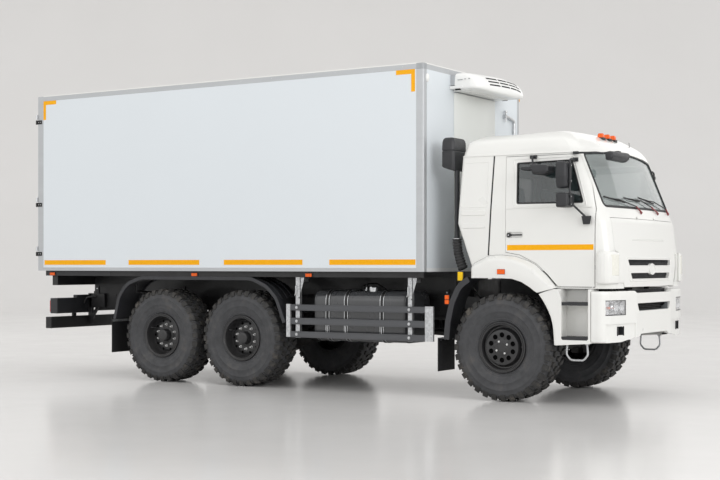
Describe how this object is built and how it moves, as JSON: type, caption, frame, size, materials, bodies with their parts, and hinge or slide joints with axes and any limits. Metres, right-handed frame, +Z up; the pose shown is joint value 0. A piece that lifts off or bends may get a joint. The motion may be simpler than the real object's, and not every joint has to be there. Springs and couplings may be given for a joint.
{
  "type": "refrigerated truck",
  "caption": "Three-axle off-road truck with a tilting cab, an insulated box body with rear doors, and a refrigeration unit on the box's front wall.",
  "frame": {"origin": "on the ground, under the middle of the overall length and width", "axes": "+X forward, +Y to the truck's left, +Z up"},
  "size_m": [8.6, 2.84, 3.9198],
  "materials": {
    "chassis_paint": "satin",
    "cab_paint": "gloss",
    "box_panel": "satin",
    "edge_metal": "satin",
    "guard_metal": "satin",
    "steel": "brushed",
    "floor_plate": "ribbed",
    "tyre": "matt",
    "rim_paint": "satin",
    "black_plastic": "grained",
    "interior_plastic": "grained",
    "seat_fabric": "woven",
    "lamp_lens": "clear",
    "window_glass": "clear",
    "unit_plastic": "gloss",
    "cast_part": "cast",
    "mudguard_plastic": "grained"
  },
  "bodies": {
    "chassis": {"frame_rails": "chassis_paint", "frame_crossmembers": "chassis_paint", "axles": "cast_part", "leaf_springs": "chassis_paint", "driveline": "cast_part", "engine_block": "cast_part", "fuel_tank": "chassis_paint", "battery_box": "black_plastic", "air_tanks": "chassis_paint", "side_guards": "guard_metal", "underrun_bar": "chassis_paint", "headlamps": "lamp_lens", "rear_lamps": "lamp_lens", "tandem_mudguards": "mudguard_plastic", "front_mudguards": "mudguard_plastic", "front_bumper": "cab_paint", "entry_steps": "cab_paint", "box_subframe": "chassis_paint", "subframe_bearers": "chassis_paint", "box_posts": "edge_metal", "box_edge_rails": "edge_metal", "box_panels": "box_panel", "box_floor": "floor_plate", "refrigeration_unit": "unit_plastic"},
    "cab": {"cab_shell": "cab_paint", "cab_roof": "cab_paint", "corner_housings": "cab_paint", "cab_glass": "window_glass", "arch_flares": "cab_paint", "dashboard": "interior_plastic", "steering_wheel": "black_plastic", "seats": "seat_fabric", "air_intake": "black_plastic", "front_mirror": "black_plastic"},
    "cab_door_right": {"door_right": "cab_paint", "door_glass_right": "window_glass", "mirror_right": "black_plastic"},
    "cab_door_left": {"door_left": "cab_paint", "door_glass_left": "window_glass", "mirror_left": "black_plastic"},
    "hood_panel": {"front_hood_panel": "cab_paint"},
    "box_door_right": {"rear_door_right": "box_panel"},
    "box_door_left": {"rear_door_left": "box_panel"},
    "steering_knuckle_right": {"knuckle_right": "cast_part"},
    "steering_knuckle_left": {"knuckle_left": "cast_part"},
    "front_wheel_right": {"front_wheel_right_tyre": "tyre", "front_wheel_right_rim": "rim_paint"},
    "front_wheel_left": {"front_wheel_left_tyre": "tyre", "front_wheel_left_rim": "rim_paint"},
    "middle_wheel_right": {"middle_wheel_right_tyre": "tyre", "middle_wheel_right_rim": "rim_paint"},
    "middle_wheel_left": {"middle_wheel_left_tyre": "tyre", "middle_wheel_left_rim": "rim_paint"},
    "rear_wheel_right": {"rear_wheel_right_tyre": "tyre", "rear_wheel_right_rim": "rim_paint"},
    "rear_wheel_left": {"rear_wheel_left_tyre": "tyre", "rear_wheel_left_rim": "rim_paint"}
  },
  "joints": [
    {"name": "cab_tilt", "type": "hinge", "parent": "chassis", "child": "cab", "pos_m": [4.22, 0, 1.1], "axis": [0, 1, 0], "range_deg": [0, 60]},
    {"name": "cab_door_right_hinge", "type": "hinge", "parent": "cab", "child": "cab_door_right", "pos_m": [4.01, -1.148, 2], "axis": [0, 0, 1], "range_deg": [0, 75]},
    {"name": "cab_door_left_hinge", "type": "hinge", "parent": "cab", "child": "cab_door_left", "pos_m": [4.01, 1.148, 2], "axis": [0, 0, -1], "range_deg": [0, 75]},
    {"name": "hood_panel_hinge", "type": "hinge", "parent": "cab", "child": "hood_panel", "pos_m": [4.2, 0, 2.085], "axis": [0, -1, 0], "range_deg": [0, 90]},
    {"name": "box_door_right_hinge", "type": "hinge", "parent": "chassis", "child": "box_door_right", "pos_m": [-4.265, -1.312, 2.7], "axis": [0, 0, 1], "range_deg": [0, 250]},
    {"name": "box_door_left_hinge", "type": "hinge", "parent": "chassis", "child": "box_door_left", "pos_m": [-4.265, 1.312, 2.7], "axis": [0, 0, -1], "range_deg": [0, 250]},
    {"name": "steer_right", "type": "hinge", "parent": "chassis", "child": "steering_knuckle_right", "pos_m": [2.94, -0.985, 0.615], "axis": [0, 0, 1], "range_deg": [-30, 30]},
    {"name": "steer_left", "type": "hinge", "parent": "chassis", "child": "steering_knuckle_left", "pos_m": [2.94, 0.985, 0.615], "axis": [0, 0, 1], "range_deg": [-30, 30]},
    {"name": "front_wheel_right_spin", "type": "hinge", "parent": "steering_knuckle_right", "child": "front_wheel_right", "pos_m": [2.94, -1.025, 0.615], "axis": [0, 1, 0], "continuous": true},
    {"name": "front_wheel_left_spin", "type": "hinge", "parent": "steering_knuckle_left", "child": "front_wheel_left", "pos_m": [2.94, 1.025, 0.615], "axis": [0, 1, 0], "continuous": true},
    {"name": "middle_wheel_right_spin", "type": "hinge", "parent": "chassis", "child": "middle_wheel_right", "pos_m": [-0.75, -1.025, 0.615], "axis": [0, 1, 0], "continuous": true},
    {"name": "middle_wheel_left_spin", "type": "hinge", "parent": "chassis", "child": "middle_wheel_left", "pos_m": [-0.75, 1.025, 0.615], "axis": [0, 1, 0], "continuous": true},
    {"name": "rear_wheel_right_spin", "type": "hinge", "parent": "chassis", "child": "rear_wheel_right", "pos_m": [-2.07, -1.025, 0.615], "axis": [0, 1, 0], "continuous": true},
    {"name": "rear_wheel_left_spin", "type": "hinge", "parent": "chassis", "child": "rear_wheel_left", "pos_m": [-2.07, 1.025, 0.615], "axis": [0, 1, 0], "continuous": true}
  ],
  "couplings": [
    {"joint": "steer_left", "follows": "steer_right", "ratio": 1}
  ]
}
